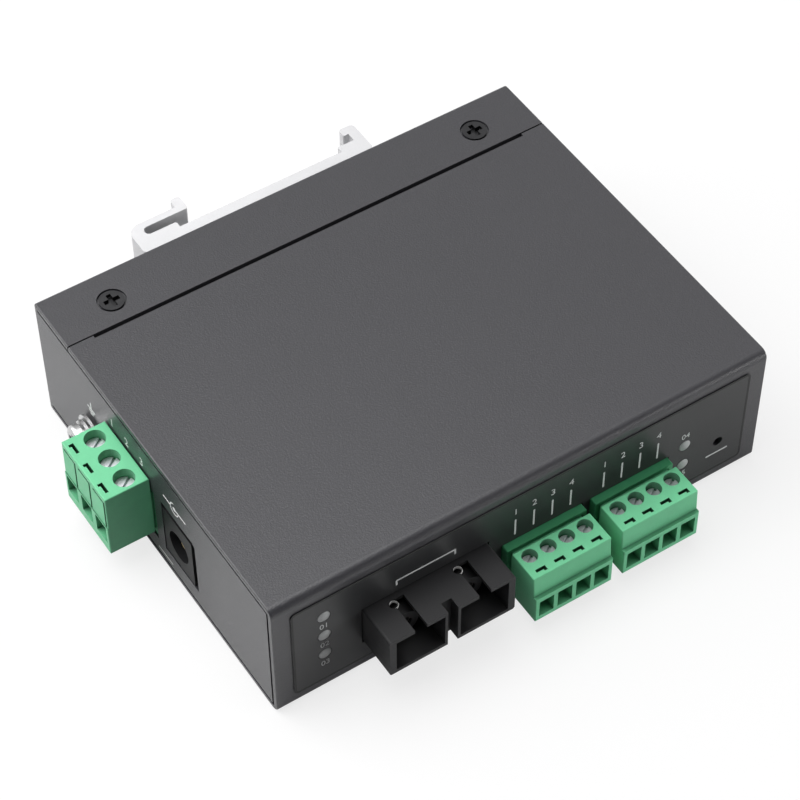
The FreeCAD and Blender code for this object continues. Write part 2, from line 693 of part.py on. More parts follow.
def make_plug(size, panelled):
    """Plug body: stepped block with a nose for the header, screw wells, wire mouths and clamp chambers."""
    levels = clamp_levels(size)
    inside = header_width(size) - 2 * size.wall - 2 * NOSE_GAP
    nose = centred(0, inside, levels.shoulder, levels.socket_rear - NOSE_GAP,
                   size.wall + NOSE_GAP, size.header_height - size.wall - NOSE_GAP)
    tools = []
    tunnel = size.socket + 2 * PIN_GAP
    for x in way_places(size):
        well = V(x, levels.screw_y, levels.seat)
        tools.append(rod(well, Z_AXIS, size.head_d + 2 * HEAD_GAP, levels.top - levels.seat))
        tools.append(rod(V(x, levels.screw_y, levels.floor), Z_AXIS, size.shank_d + 2 * HEAD_GAP,
                         levels.seat - levels.floor))
        tools.append(centred(x, size.wire_width, -size.reach, levels.screw_y,
                             levels.floor, levels.floor + size.wire_height))
        tools.append(centred(x, size.wire_width, -size.reach + PLUG_FRONT_WALL, levels.riser + STRIP,
                             levels.floor, levels.roof))
        tools.append(centred(x, tunnel, levels.screw_y, levels.socket_rear,
                             levels.pin_height - tunnel / 2, levels.pin_height + tunnel / 2))
        notch_y = levels.face + size.lean + NOTCH_FROM_EDGE
        tools.append(centred(x, size.notch, notch_y - NOTCH_WIDTH / 2, notch_y + NOTCH_WIDTH / 2,
                             levels.top - NOTCH_DEPTH, levels.top))
        tools.append(centred(x + size.tick * (size.notch - NOTCH_WIDTH) / 2, NOTCH_WIDTH,
                             notch_y - NOTCH_TICK, notch_y, levels.top - NOTCH_DEPTH, levels.top))
        if panelled:
            tools += panel_grooves(size, x)
    return plug_block(size).fuse(nose).cut(tools).removeSplitter()


def make_contacts(size):
    """Contact strip above each wire, its riser and the sleeve that takes the header's pin."""
    levels = clamp_levels(size)
    strip_width = levels.cage_width - 2 * size.bar
    contacts = []
    for x in way_places(size):
        low = levels.strip_top - STRIP
        high = levels.pin_height + size.socket / 2
        strip = centred(x, strip_width, levels.screw_y - size.cage_depth / 2, levels.riser + STRIP,
                        low, levels.strip_top)
        riser = centred(x, strip_width, levels.riser, levels.riser + STRIP, low, high)
        sleeve = centred(x, size.socket, levels.riser + STRIP, levels.socket_rear - NOSE_GAP - PIN_GAP,
                         levels.pin_height - size.socket / 2, high)
        hollow = size.pin + 2 * PIN_GAP
        bore = centred(x, hollow, levels.riser + 2 * STRIP, levels.socket_rear,
                       levels.pin_height - hollow / 2, levels.pin_height + hollow / 2)
        contacts.append(join([strip, riser, sleeve.cut(bore)]))
    return contacts


def make_clamp_screw(size, x):
    """Slotted clamp screw, captive in its well."""
    levels = clamp_levels(size)
    head = rod(V(x, levels.screw_y, levels.seat + SCREW_GAP), Z_AXIS, size.head_d, size.head_thick)
    shank = rod(V(x, levels.screw_y, levels.bar_under), Z_AXIS, size.shank_d,
                levels.seat + SCREW_GAP - levels.bar_under)
    top = levels.head_top + SCREW_GAP
    slot = block(x - size.head_d, x + size.head_d, levels.screw_y - SLOT_WIDTH / 2,
                 levels.screw_y + SLOT_WIDTH / 2, top - SLOT_DEPTH, top)
    slot.rotate(V(x, levels.screw_y, top), Z_AXIS, size.slot_turn)
    return head.fuse(shank).cut(slot).removeSplitter()


def make_cage(size, x):
    """Rising clamp cage: a square loop round the wire, with the screw through its upper bar."""
    levels = clamp_levels(size)
    y0 = levels.screw_y - size.cage_depth / 2
    y1 = levels.screw_y + size.cage_depth / 2
    top = levels.cage_low + size.cage_height
    loop = centred(x, levels.cage_width, y0, y1, levels.cage_low, top)
    window = centred(x, levels.cage_width - 2 * size.cage_side, y0, y1,
                     levels.cage_low + size.bar, top - size.bar)
    hole = rod(V(x, levels.screw_y, top - size.bar), Z_AXIS, size.shank_d + 2 * PIN_GAP, size.bar)
    return loop.cut([window, hole])


def place_front(shape, x):
    """Move a connector from its own zero to the front panel."""
    moved = shape.copy()
    moved.translate(V(x, front, board_top))
    return moved


def place_end(shape):
    """Turn a connector to face the power end and move it there."""
    moved = shape.copy()
    moved.rotate(V(0, 0, 0), Z_AXIS, -90)
    moved.translate(V(left, power_y, board_top))
    return moved


def make_fibre_housing():
    """Duplex receptacle: two keyed ports in one moulding, split apart at the nose, on feet at the rear."""
    low = board_top + FIBRE_RISE
    high = low + FIBRE_HEIGHT
    nose = front - FIBRE_REACH
    rear = front + FIBRE_INSIDE
    half = FIBRE_WIDTH / 2
    corners = [(fibre_x - half, low, FIBRE_EDGE_ROUND), (fibre_x + half, low, FIBRE_EDGE_ROUND),
               (fibre_x + half, high, FIBRE_EDGE_ROUND), (fibre_x - half, high, FIBRE_EDGE_ROUND)]
    body = slab(corners, lambda x, z: V(x, nose, z), Y_AXIS * (rear - nose))
    axis = (low + high) / 2
    tools = [centred(fibre_x, FIBRE_SPLIT, nose, nose + FIBRE_SPLIT_DEPTH, low, high)]
    for x in fibre_ports():
        tools.append(centred(x, FIBRE_CAVITY_WIDTH, nose, nose + FIBRE_CAVITY_DEPTH,
                             axis - FIBRE_CAVITY_HEIGHT / 2, axis + FIBRE_CAVITY_HEIGHT / 2))
        tools.append(centred(x, FIBRE_KEY_WIDTH, nose, nose + FIBRE_KEY_LENGTH, axis, high))
        tools.append(rod(V(x - FIBRE_KEY_WIDTH / 2, nose + FIBRE_KEY_LENGTH - FIBRE_EYE_D / 2, axis), Z_AXIS,
                         FIBRE_EYE_D, high - axis))
    cavity_rear = nose + FIBRE_CAVITY_DEPTH
    sleeve_start = cavity_rear - SLEEVE_LENGTH
    lip = sleeve_start - SLEEVE_LIP
    holders = [rod(V(x, lip, axis), Y_AXIS, SLEEVE_HOLDER_D, cavity_rear - lip) for x in fibre_ports()]
    bores = []
    for x in fibre_ports():
        bores.append(rod(V(x, sleeve_start, axis), Y_AXIS, SLEEVE_D, rear - sleeve_start))
        bores.append(rod(V(x, lip, axis), Y_AXIS, SLEEVE_BORE + 2 * PIN_GAP, SLEEVE_LIP))
    feet = [centred(fibre_x + side * (half - FIBRE_FOOT / 2), FIBRE_FOOT, rear - FIBRE_FOOT, rear,
                    board_top, low + FIBRE_EDGE_ROUND) for side in (-1, 1)]
    return join([body.cut(tools)] + holders + feet).cut(bores)


def fibre_ports():
    """Centres of the two ports."""
    return (fibre_x - FIBRE_PITCH / 2, fibre_x + FIBRE_PITCH / 2)


def make_sleeves():
    """Ferrule sleeve of each port, inside the moulding's holder."""
    axis = board_top + FIBRE_RISE + FIBRE_HEIGHT / 2
    start = front - FIBRE_REACH + FIBRE_CAVITY_DEPTH - SLEEVE_LENGTH
    length = front + FIBRE_INSIDE - start
    sleeves = []
    for x in fibre_ports():
        tube = rod(V(x, start, axis), Y_AXIS, SLEEVE_D, length)
        sleeves.append(tube.cut(rod(V(x, start, axis), Y_AXIS, SLEEVE_BORE, length)))
    return sleeves


def make_shield():
    """Can of the optical transceiver behind the receptacle."""
    rear = front + FIBRE_INSIDE
    high = board_top + FIBRE_RISE + FIBRE_HEIGHT + SHIELD_TOP_STEP
    half = FIBRE_WIDTH / 2
    corners = [(fibre_x - half, board_top, 0), (fibre_x + half, board_top, 0),
               (fibre_x + half, high, FIBRE_EDGE_ROUND), (fibre_x - half, high, FIBRE_EDGE_ROUND)]
    return slab(corners, lambda x, z: V(x, rear, z), Y_AXIS * SHIELD_DEPTH)


def make_jack():
    """Barrel jack's moulded body, flush with the end wall."""
    face = left + JACK_FACE_SUNK
    axis = V(face, jack_y, board_top + JACK_AXIS_RISE)
    body = block(face, face + JACK_DEPTH, jack_y - JACK_WIDTH / 2, jack_y + JACK_WIDTH / 2,
                 board_top, board_top + JACK_HEIGHT)
    return body.cut([rod(axis, X_AXIS, JACK_HOLE_D, JACK_HOLE_DEPTH),
                     rod(axis, X_AXIS, JACK_PIN_D + 2 * SCREW_GAP, JACK_DEPTH)])


def make_jack_pin():
    """Centre pin of the jack, with its rivet and solder tail behind the body."""
    face = left + JACK_FACE_SUNK
    height = board_top + JACK_AXIS_RISE
    pin = rod(V(face + JACK_PIN_SUNK, jack_y, height), X_AXIS, JACK_PIN_D, JACK_DEPTH - JACK_PIN_SUNK)
    tail = block(face + JACK_DEPTH, face + JACK_DEPTH + STRIP,
                 jack_y - JACK_PIN_D / 2, jack_y + JACK_PIN_D / 2,
                 board_bottom - TAIL_BELOW_BOARD, height + JACK_PIN_D)
    return pin.fuse(tail).removeSplitter()


def make_earth_screw():
    """Pan-head earth screw with a cross recess, left loose in the end wall for a cable."""
    head_base = spring_washer_x - LOCK_WASHER - EARTH_HEAD_PLAY
    head = rod(V(head_base, earth_y, EARTH_HEIGHT), -X_AXIS, EARTH_HEAD_D, EARTH_HEAD)
    rim = [edge for edge in head.Edges if edge.BoundBox.XMax < head_base - EARTH_HEAD / 2
           and edge.BoundBox.YLength > EARTH_D]
    head = head.makeFillet(EARTH_HEAD_ROUND, rim)
    shank = rod(V(head_base, earth_y, EARTH_HEIGHT), X_AXIS, EARTH_D, EARTH_LENGTH)
    screw = head.fuse(shank).removeSplitter()
    face = head_base - EARTH_HEAD
    for length, width in ((RECESS_LENGTH, RECESS_WIDTH), (RECESS_WIDTH, RECESS_LENGTH)):
        screw = screw.cut(block(face, face + RECESS_DEPTH, earth_y - length / 2, earth_y + length / 2,
                                EARTH_HEIGHT - width / 2, EARTH_HEIGHT + width / 2))
    return screw


def make_washer(diameter, thick, x):
    """Round washer on the earth screw, lying against x."""
    ring = rod(V(x, earth_y, EARTH_HEIGHT), -X_AXIS, diameter, thick)
    return ring.cut(rod(V(x, earth_y, EARTH_HEIGHT), -X_AXIS, EARTH_D + 2 * SCREW_GAP, thick))


def make_lock_washer():
    """Split spring washer between the flat washer and the screw's head."""
    ring = make_washer(LOCK_WASHER_D, LOCK_WASHER, spring_washer_x)
    split = block(spring_washer_x - LOCK_WASHER, spring_washer_x,
                  earth_y - LOCK_SPLIT / 2, earth_y + LOCK_SPLIT / 2,
                  EARTH_HEIGHT - LOCK_WASHER_D, EARTH_HEIGHT)
    return ring.cut(split)


def make_lamps(x, heights):
    """Column of lamps that show through the panel, each with a low dome."""
    lamps = []
    face = front - FILM
    radius = LAMP_D / 2
    ball = (radius ** 2 + LAMP_DOME ** 2) / (2 * LAMP_DOME)
    for z in heights:
        barrel = rod(V(x, face, z), Y_AXIS, LAMP_D, LAMP_LENGTH)
        dome = Part.makeSphere(ball, V(x, face - LAMP_DOME + ball, z))
        cap = dome.common(rod(V(x, face - LAMP_DOME, z), Y_AXIS, LAMP_D, LAMP_DOME))
        lamps.append(join([barrel, cap]))
    return lamps


def make_lamp_holder(x, heights):
    """Upright block behind the panel that carries a column of lamps."""
    y0 = front + SHEET + PANEL_GAP
    holder = centred(x, HOLDER_WIDTH, y0, y0 + HOLDER_DEPTH, board_top, heights[-1] + HOLDER_TOP)
    return holder.cut([rod(V(x, y0, z), Y_AXIS, LAMP_D + 2 * SCREW_GAP, front - FILM + LAMP_LENGTH - y0)
                       for z in heights])


reset_face = front + SHEET + PANEL_GAP + RESET_BUTTON_REACH


def make_reset_switch():
    """Body of the push switch behind the reset hole, bored for its button."""
    body = centred(reset_x, RESET_WIDTH, reset_face, reset_face + RESET_DEPTH,
                   board_top, board_top + RESET_HEIGHT)
    bore = rod(V(reset_x, reset_face, reset_height), Y_AXIS, RESET_BUTTON_D + 2 * RESET_GAP,
               RESET_BUTTON_SEAT + RESET_TRAVEL + RESET_GAP)
    return body.cut(bore)


def make_reset_button():
    """Button of the reset switch."""
    return rod(V(reset_x, reset_face - RESET_BUTTON_REACH, reset_height), Y_AXIS, RESET_BUTTON_D,
               RESET_BUTTON_REACH + RESET_BUTTON_SEAT)


board_left = left + SHEET + BOARD_END_MARGIN
board_right = half_length - SHEET - BOARD_END_MARGIN
board_front = front + SHEET + BOARD_FRONT_MARGIN
board_back = seam - SEAM_GAP - 2 * JOGGLE_RUN - BOARD_BACK_MARGIN


def board_corners():
    """Places of the board's four screws."""
    return [V(x, y, board_top) for x in (board_left + BOARD_SCREW_INSET, board_right - BOARD_SCREW_INSET)
            for y in (board_back - BOARD_SCREW_INSET, board_front + SHIELD_DEPTH)]


def make_board():
    """Circuit board with its screw holes and a hole for every solder tail."""
    board = block(board_left, board_right, board_front, board_back, board_bottom, board_top)
    tools = [rod(corner, -Z_AXIS, BOARD_SCREW_D + 2 * BOARD_HOLE_GAP, BOARD_THICK)
             for corner in board_corners()]
    for size, placing in ((signal, lambda s: place_front(s, plug_a_x)),
                          (signal, lambda s: place_front(s, plug_b_x)), (power, place_end)):
        hole = size.pin / 2 + BOARD_HOLE_GAP
        tail = pin_tail_y(size)
        for x in way_places(size):
            tools.append(placing(block(x - hole, x + hole, tail - hole, tail + hole, -BOARD_THICK, 0)))
    face = left + JACK_FACE_SUNK + JACK_DEPTH
    tools.append(block(face - BOARD_HOLE_GAP, face + STRIP + BOARD_HOLE_GAP,
                       jack_y - JACK_PIN_D / 2 - BOARD_HOLE_GAP, jack_y + JACK_PIN_D / 2 + BOARD_HOLE_GAP,
                       board_bottom, board_top))
    return board.cut(tools)


def make_posts():
    """Posts that hold the board off the case's floor."""
    posts = []
    for corner in board_corners():
        base = V(corner.x, corner.y, SHEET)
        post = rod(base, Z_AXIS, POST_D, BOARD_LIFT)
        posts.append(post.cut(rod(base, Z_AXIS, BOARD_SCREW_D + 2 * SCREW_GAP, BOARD_LIFT)))
    return posts


def make_board_screws():
    """Cheese-head screws that hold the board on its posts."""
    screws = []
    for corner in board_corners():
        head = rod(corner, Z_AXIS, BOARD_SCREW_HEAD_D, BOARD_SCREW_HEAD)
        shank = rod(corner, -Z_AXIS, BOARD_SCREW_D, BOARD_THICK + BOARD_LIFT - STRIP)
        slot = centred(corner.x, BOARD_SCREW_HEAD_D, corner.y - SLOT_WIDTH / 2, corner.y + SLOT_WIDTH / 2,
                       board_top + BOARD_SCREW_HEAD - SLOT_DEPTH, board_top + BOARD_SCREW_HEAD)
        screws.append(head.fuse(shank).cut(slot).removeSplitter())
    return screws


board_middle_y = (board_front + board_back) / 2
controller_x = plug_a_x
parts_row_y = board_middle_y + CONTROLLER


def make_chips():
    """Controller and the two bus drivers behind the signal headers."""
    chips = [centred(controller_x, CONTROLLER,
                     board_middle_y - CONTROLLER / 2, board_middle_y + CONTROLLER / 2,
                     board_top, board_top + CHIP_THICK)]
    driver_back = board_middle_y - CONTROLLER / 2 - CHIP_SPACING
    for x in (plug_a_x, plug_b_x):
        chips.append(centred(x, DRIVER_LENGTH, driver_back - DRIVER_WIDTH, driver_back,
                             board_top, board_top + CHIP_THICK))
    return chips


module_x = board_right - MODULE_FROM_END - MODULE_LENGTH / 2


def make_module():
    """Isolated supply module."""
    return centred(module_x, MODULE_LENGTH, parts_row_y, parts_row_y + MODULE_WIDTH,
                   board_top, board_top + MODULE_HEIGHT)


def make_capacitors():
    """Two electrolytic capacitors on square bases, beside the supply module."""
    cans = []
    base = CAPACITOR_D + 2 * CAPACITOR_BASE_MARGIN
    y = parts_row_y + MODULE_WIDTH / 2
    for side in (1, 2):
        x = module_x - MODULE_LENGTH / 2 - side * (CAPACITOR_D + CHIP_SPACING) + CAPACITOR_D / 2
        foot = centred(x, base, y - base / 2, y + base / 2, board_top, board_top + CAPACITOR_BASE)
        can = rod(V(x, y, board_top + CAPACITOR_BASE), Z_AXIS, CAPACITOR_D, CAPACITOR_HEIGHT - CAPACITOR_BASE)
        cans.append(foot.fuse(can))
    return cans


def save_connector(name, size, placing, panelled):
    """Write a header with its pins, and its plug with contacts, clamp screws and cages."""
    save(name + "_header", placing(make_header(size)))
    save(name + "_header_pins", [placing(pin) for pin in make_header_pins(size)])
    save(name + "_plug", placing(make_plug(size, panelled)))
    save(name + "_plug_contacts", [placing(contact) for contact in make_contacts(size)])
    for number, x in enumerate(way_places(size), 1):
        save("{}_screw_{}".format(name, number), placing(make_clamp_screw(size, x)))
        save("{}_cage_{}".format(name, number), placing(make_cage(size, x)))


os.makedirs("parts", exist_ok=True)
save("front_cover", make_front_cover())
save("rear_chassis", make_rear_chassis())
save("front_film", make_front_film())
save("case_screws", [recessed_screw(top, axis) for top, axis in case_screw_tops()])
save("rail_clip", make_rail_clip())
save("rail_clip_screws", [recessed_screw(top, axis) for top, axis in clip_screw_tops()])
save("main_board", make_board())
save("board_posts", make_posts())
save("board_screws", make_board_screws())
save_connector("signal_a", signal, lambda shape: place_front(shape, plug_a_x), False)
save_connector("signal_b", signal, lambda shape: place_front(shape, plug_b_x), False)
save_connector("power", power, place_end, True)
save("fibre_housing", make_fibre_housing())
save("fibre_sleeves", make_sleeves())
save("transceiver_shield", make_shield())
save("jack_body", make_jack())
save("jack_pin", make_jack_pin())
save("earth_screw", make_earth_screw())
save("earth_flat_washer", make_washer(WASHER_D, WASHER, flat_washer_x))
save("earth_lock_washer", make_lock_washer())
save("status_lamps", make_lamps(status_x, status_heights))
save("link_lamps", make_lamps(link_x, link_heights))
save("lamp_holders", [make_lamp_holder(status_x, status_heights), make_lamp_holder(link_x, link_heights)])
save("reset_switch", make_reset_switch())
save("reset_button", make_reset_button())
save("board_chips", make_chips())
save("supply_module", make_module())
save("capacitors", make_capacitors())
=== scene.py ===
"""Looks of a rail-mount fibre converter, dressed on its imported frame.

Metres. X runs along the front panel away from the power end, Y from that panel to the rail clip and Z up.
"""
import json
import math

import bmesh
import bpy
import numpy as np
from mathutils import Matrix, Vector


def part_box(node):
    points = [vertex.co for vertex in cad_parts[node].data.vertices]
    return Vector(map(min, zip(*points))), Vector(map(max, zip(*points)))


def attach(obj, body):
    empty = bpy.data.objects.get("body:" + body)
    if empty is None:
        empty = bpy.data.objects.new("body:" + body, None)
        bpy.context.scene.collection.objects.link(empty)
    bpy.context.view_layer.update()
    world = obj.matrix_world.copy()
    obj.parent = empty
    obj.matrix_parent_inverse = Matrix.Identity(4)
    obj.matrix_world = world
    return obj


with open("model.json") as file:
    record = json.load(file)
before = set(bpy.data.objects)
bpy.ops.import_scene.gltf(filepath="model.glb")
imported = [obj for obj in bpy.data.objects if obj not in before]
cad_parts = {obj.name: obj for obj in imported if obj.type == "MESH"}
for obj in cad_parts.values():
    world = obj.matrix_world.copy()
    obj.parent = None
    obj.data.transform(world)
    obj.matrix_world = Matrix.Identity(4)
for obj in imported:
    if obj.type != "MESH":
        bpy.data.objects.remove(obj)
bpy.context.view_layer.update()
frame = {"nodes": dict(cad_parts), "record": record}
nodes = frame["nodes"]
MM = 0.001

# Camera of the photograph, for a square picture
CAMERA_PLACE = (-0.1643, -0.2547, 0.3742)
CAMERA_RIGHT = (0.8372, -0.5468, -0.0038)
CAMERA_DOWN = (-0.4229, -0.6431, -0.6384)
SENSOR_MM = 36.0
FOCAL_IN_SENSORS = 2654.54 / 800

# Colours of the finishes, linear
CASE_GREY = (0.0245, 0.0240, 0.0285)
FILM_BLACK = (0.020, 0.0205, 0.0215)
OXIDE_BLACK = (0.045, 0.045, 0.047)
PLASTIC_BLACK = (0.012, 0.012, 0.013)
JACK_GREY = (0.011, 0.011, 0.012)
PLUG_GREEN = (0.156, 0.565, 0.300)
HEADER_GREEN = (0.045, 0.260, 0.115)
ALUMINIUM = (0.62, 0.62, 0.63)
NICKEL = (0.55, 0.55, 0.55)
ZINC = (0.66, 0.67, 0.70)
TIN = (0.72, 0.71, 0.69)
BRASS = (0.72, 0.55, 0.24)
CERAMIC = (0.24, 0.23, 0.22)
LENS = (0.31, 0.32, 0.32)
RESIST_GREEN = (0.012, 0.085, 0.030)
TRACK_GREEN = (0.025, 0.150, 0.055)
RESIN_BLACK = (0.012, 0.012, 0.013)
FRONT_INK = (0.58, 0.59, 0.59)
# Painted light: the end's ink is lighter than the front's so that it stands out against the shade it lies in
END_INK_PAINTED_LIGHTER = (0.82, 0.83, 0.82)
# Black of the line round the film: painted shade of the gap at its edge
FILM_EDGE_PAINTED_SHADE = (0.004, 0.004, 0.004)
# Pale of the port's bite rims, partly a painted highlight
EYELET = (0.50, 0.50, 0.49)

# Depth of the jack's face that keeps its own grey in front of the painted shade on its sides and bore, and
# how far the painted shade in a moulding's recesses reaches, millimetres
JACK_FACE_BEFORE_PAINTED_SHADE = 0.05
RECESS_PAINTED_SHADE_REACH = 2.5

# Print on the front panel and on the power end, and the painted shade line round the film, millimetres and
# degrees
INK_RISE = 0.02
LINE_WIDTH = 0.36
BORDER_WIDTH = 0.46
BORDER_ROUND = 1.0
DIGIT_SIZE = 2.1
SMALL_DIGIT_SIZE = 1.8
END_DIGIT_SIZE = 2.7
LEADER_FROM = 15.4
LEADER_TO = 19.2
DIGIT_HEIGHT = 21.4
CAPTION_DROP = 2.6
PORT_LINE_HEIGHT = 20.0
PORT_LINE_HALF = 5.8
PORT_TICK = 1.1
RESET_LINE_HEIGHT = 7.6
RESET_LINE_HALF = 2.2
POWER_DIGIT_HEIGHT = 22.8
POLARITY_HEIGHT = 21.6
POLARITY_REACH = 3.6
POLARITY_RING = 1.3
POLARITY_TURN = 270
POLARITY_DOT = 0.5
EARTH_SYMBOL_HEIGHT = 18.3
EARTH_BARS = (1.2, 0.8, 0.4)
EARTH_BAR_STEP = 0.65
EARTH_STEM = 1.6
JACK_LINE_HEIGHT = 2.7
JACK_LINE_HALF = 2.3
JACK_LINE_SHIFT = 5.4

# Pale rims of the round bites in the fibre port's key slots, partly a painted highlight on their lit side,
# millimetres and degrees
EYELET_PLACES = ((-28.08, -41.80), (-15.38, -41.80))
EYELET_RADIUS = 0.74
EYELET_SECTION = 0.09
EYELET_HEIGHT = 0.35
EYELET_TURN = (-110, 150)

# Points round a section, round a ring and along a line's round end, and how flat an ink line's oval is
SECTION_POINTS = 12
ROUND_POINTS = 48
END_POINTS = 6
OVAL_POWER = 0.4
MERGE_DISTANCE = 1e-7

# Light of the surroundings: grey fill, and how dark the front is in mirror surfaces, between two depths
FILL_GREY = (0.10, 0.10, 0.103)
FRONT_SHADE = 0.10
FRONT_DEPTHS = (-0.60, -0.10)

# Floor: its paper as a bounce and as seen, its own white, and where it turns all white, in millimetres
PAPER_BOUNCE = (0.22, 0.22, 0.22)
PAPER_SEEN = (0.85, 0.85, 0.85)
FLOOR_WHITE = 0.75
FLOOR_WHITENS = (250.0, 900.0)
FLOOR_HALF = 3000.0
FLOOR_DROP = 0.3


class Wire:
    """Output socket of a node. Sums written on wires add Math nodes to the same finish."""

    def __init__(self, finish, socket):
        self.finish = finish
        self.socket = socket

    def math(self, operation, first, second):
        """Math node on two values, of which either may be a plain number."""
        return self.finish.node("ShaderNodeMath", {"operation": operation}, {0: first, 1: second})

    def __add__(self, other):
        return self.math("ADD", self, other)

    def __radd__(self, other):
        return self.math("ADD", other, self)

    def __mul__(self, other):
        return self.math("MULTIPLY", self, other)

    def __rmul__(self, other):
        return self.math("MULTIPLY", other, self)

    def above(self, level):
        """1 where the value is above a level, otherwise 0."""
        return self.math("GREATER_THAN", self, level)

    def highest(self, other):
        """The higher of two values."""
        return self.math("MAXIMUM", self, other)


class Finish:
    """Material, or world, made of nodes."""

    def __init__(self, owner):
        owner.use_nodes = True
        self.owner = owner
        self.tree = owner.node_tree
        self.tree.nodes.clear()

    def node(self, kind, settings=None, sockets=None, output=0):
        """One node: its settings first, then a value or a wire for each of its sockets."""
        made = self.tree.nodes.new(kind)
        for name, value in (settings or {}).items():
            setattr(made, name, value)
        for name, value in (sockets or {}).items():
            if isinstance(value, Wire):
                self.tree.links.new(value.socket, made.inputs[name])
            else:
                made.inputs[name].default_value = value
        return Wire(self, made.outputs[output])

    def place(self, scale=(1, 1, 1)):
        """Object coordinates in millimetres, drawn out by a scale along each axis."""
        spot = self.node("ShaderNodeTexCoord", output=3)
        stretch = [s / MM for s in scale]
        return self.node("ShaderNodeMapping", None, {"Vector": spot, "Scale": stretch})

    def noise(self, cell, detail=2.0, scale=(1, 1, 1)):
        """Cloudy noise from 0 to 1 with cells of that many millimetres."""
        return self.node("ShaderNodeTexNoise", None,
                         {"Vector": self.place(scale), "Scale": 1 / cell, "Detail": detail})

    def shade(self, colour, tone):
        """Colour made lighter or darker by a wire."""
        return self.node("ShaderNodeVectorMath", {"operation": "SCALE"}, {0: colour, "Scale": tone})

    def blend(self, first, second, share):
        """Mix of two colours."""
        pair = [v if isinstance(v, Wire) else (*v, 1.0) for v in (first, second)]
        return self.node("ShaderNodeMix", {"data_type": "RGBA"}, {0: share, 6: pair[0], 7: pair[1]}, 2)

    def relief(self, height, depth_mm):
        """Bumps of that depth from a height between 0 and 1."""
        return self.node("ShaderNodeBump", None,
                         {"Height": height, "Distance": depth_mm * MM, "Strength": 1.0})

    def surface(self, **sockets):
        """Principled surface as the finish's output. An underscore in a name stands for a space."""
        values = {}
        for name, value in sockets.items():
            plain_colour = isinstance(value, tuple) and len(value) == 3
            values[name.replace("_", " ")] = (*value, 1.0) if plain_colour else value
        shader = self.node("ShaderNodeBsdfPrincipled", None, values)
        self.node_output("ShaderNodeOutputMaterial", shader)
        return self.owner

    def node_output(self, kind, shader):
        """Output node that takes a shader."""
        made = self.tree.nodes.new(kind)
        self.tree.links.new(shader.socket, made.inputs["Surface"])


def powder_coat(name, colour):
    """Baked powder: orange peel of a third of a millimetre, a finer grain on it and wide pale patches."""
    f = Finish(bpy.data.materials.new(name))
    peel = f.noise(0.36, 2.0)
    grain = f.noise(0.13, 3.0)
    patch = f.noise(9.0, 2.0)
    tone = 0.26 + 0.58 * peel + 0.78 * grain + 0.12 * patch
    return f.surface(Base_Color=f.shade(colour, tone), Roughness=0.26 + 0.16 * grain,
                     Normal=f.relief(peel * 0.6 + grain * 0.4, 0.070), Specular_IOR_Level=0.6)


def dark_film(name, colour):
    """Satin printed film, with a faint fine texture."""
    f = Finish(bpy.data.materials.new(name))
    grain = f.noise(0.22, 2.0)
    haze = f.noise(14.0, 2.0)
    return f.surface(Base_Color=f.shade(colour, 0.8 + 0.4 * haze), Roughness=0.30 + 0.12 * grain,
                     Normal=f.relief(grain, 0.012), Specular_IOR_Level=0.38)


def moulded(name, colour, rough, relief_mm=0.012, gloss=0.4):
    """Moulded plastic: eroded-tool texture, flow streaks, and painted shade that darkens its recesses."""
    f = Finish(bpy.data.materials.new(name))
    spark = f.noise(0.18, 2.0)
    flow = f.noise(2.6, 3.0, (1.0, 0.45, 1.0))
    # Painted shade: the colour darkens where the moulding's own shape hides its surroundings, in wells,
    # notches and mouths.
    painted_shade_ao = f.node("ShaderNodeAmbientOcclusion", {"samples": 8, "only_local": True},
                        {"Distance": RECESS_PAINTED_SHADE_REACH * MM}, "AO")
    tone = (0.86 + 0.18 * flow + 0.10 * spark) * (0.12 + 0.88 * painted_shade_ao * painted_shade_ao)
    return f.surface(Base_Color=f.shade(colour, tone), Roughness=rough + 0.14 * flow,
                     Normal=f.relief(spark, relief_mm), Specular_IOR_Level=gloss)


def jack_moulding(name, colour):
    """Moulded jack, dark grey on its face, with painted shade of the gap round it turning its sides and bore
    black, and these rougher.
    """
    f = Finish(bpy.data.materials.new(name))
    spark = f.noise(0.18, 2.0)
    inward = f.node("ShaderNodeSeparateXYZ", None, {"Vector": f.place()}, 0)
    # Painted shade: everything behind the face takes the black of the shaded sides and bore.
    behind = inward.above(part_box("jack_body")[0][0] / MM + JACK_FACE_BEFORE_PAINTED_SHADE)
    face = f.shade(colour, 0.86 + 0.28 * spark)
    return f.surface(Base_Color=f.blend(face, RESIN_BLACK, behind),
                     Roughness=0.40 + 0.10 * spark + 0.4 * behind,
                     Normal=f.relief(spark, 0.012), Specular_IOR_Level=0.15)


def plated(name, colour, rough, marks_mm=0.006):
    """Plated metal with fine tool marks and stained patches."""
    f = Finish(bpy.data.materials.new(name))
    marks = f.noise(0.25, 3.0, (1.0, 1.0, 0.25))
    stain = f.noise(1.4, 2.0)
    return f.surface(Base_Color=f.shade(colour, 0.80 + 0.28 * stain), Metallic=1.0,
                     Roughness=rough + 0.18 * marks, Normal=f.relief(marks, marks_mm))


def anodised(name, colour):
    """Clear anodised extrusion: die lines along its length, which is Z, and a soft grey haze."""
    f = Finish(bpy.data.materials.new(name))
    lines = f.noise(0.35, 3.0, (1.0, 1.0, 0.012))
    haze = f.noise(5.0, 2.0)
    return f.surface(Base_Color=f.shade(colour, 0.86 + 0.10 * haze + 0.08 * lines), Metallic=0.55,
                     Roughness=0.42 + 0.16 * lines, Normal=f.relief(lines, 0.010))


def frosted_lens(name, colour):
    """Diffusing lamp lens with a milky, uneven body."""
    f = Finish(bpy.data.materials.new(name))
    milk = f.noise(0.8, 2.0)
    return f.surface(Base_Color=f.shade(colour, 0.85 + 0.30 * milk), Roughness=0.30 + 0.10 * milk,
                     Coat_Weight=0.4, Coat_Roughness=0.15)


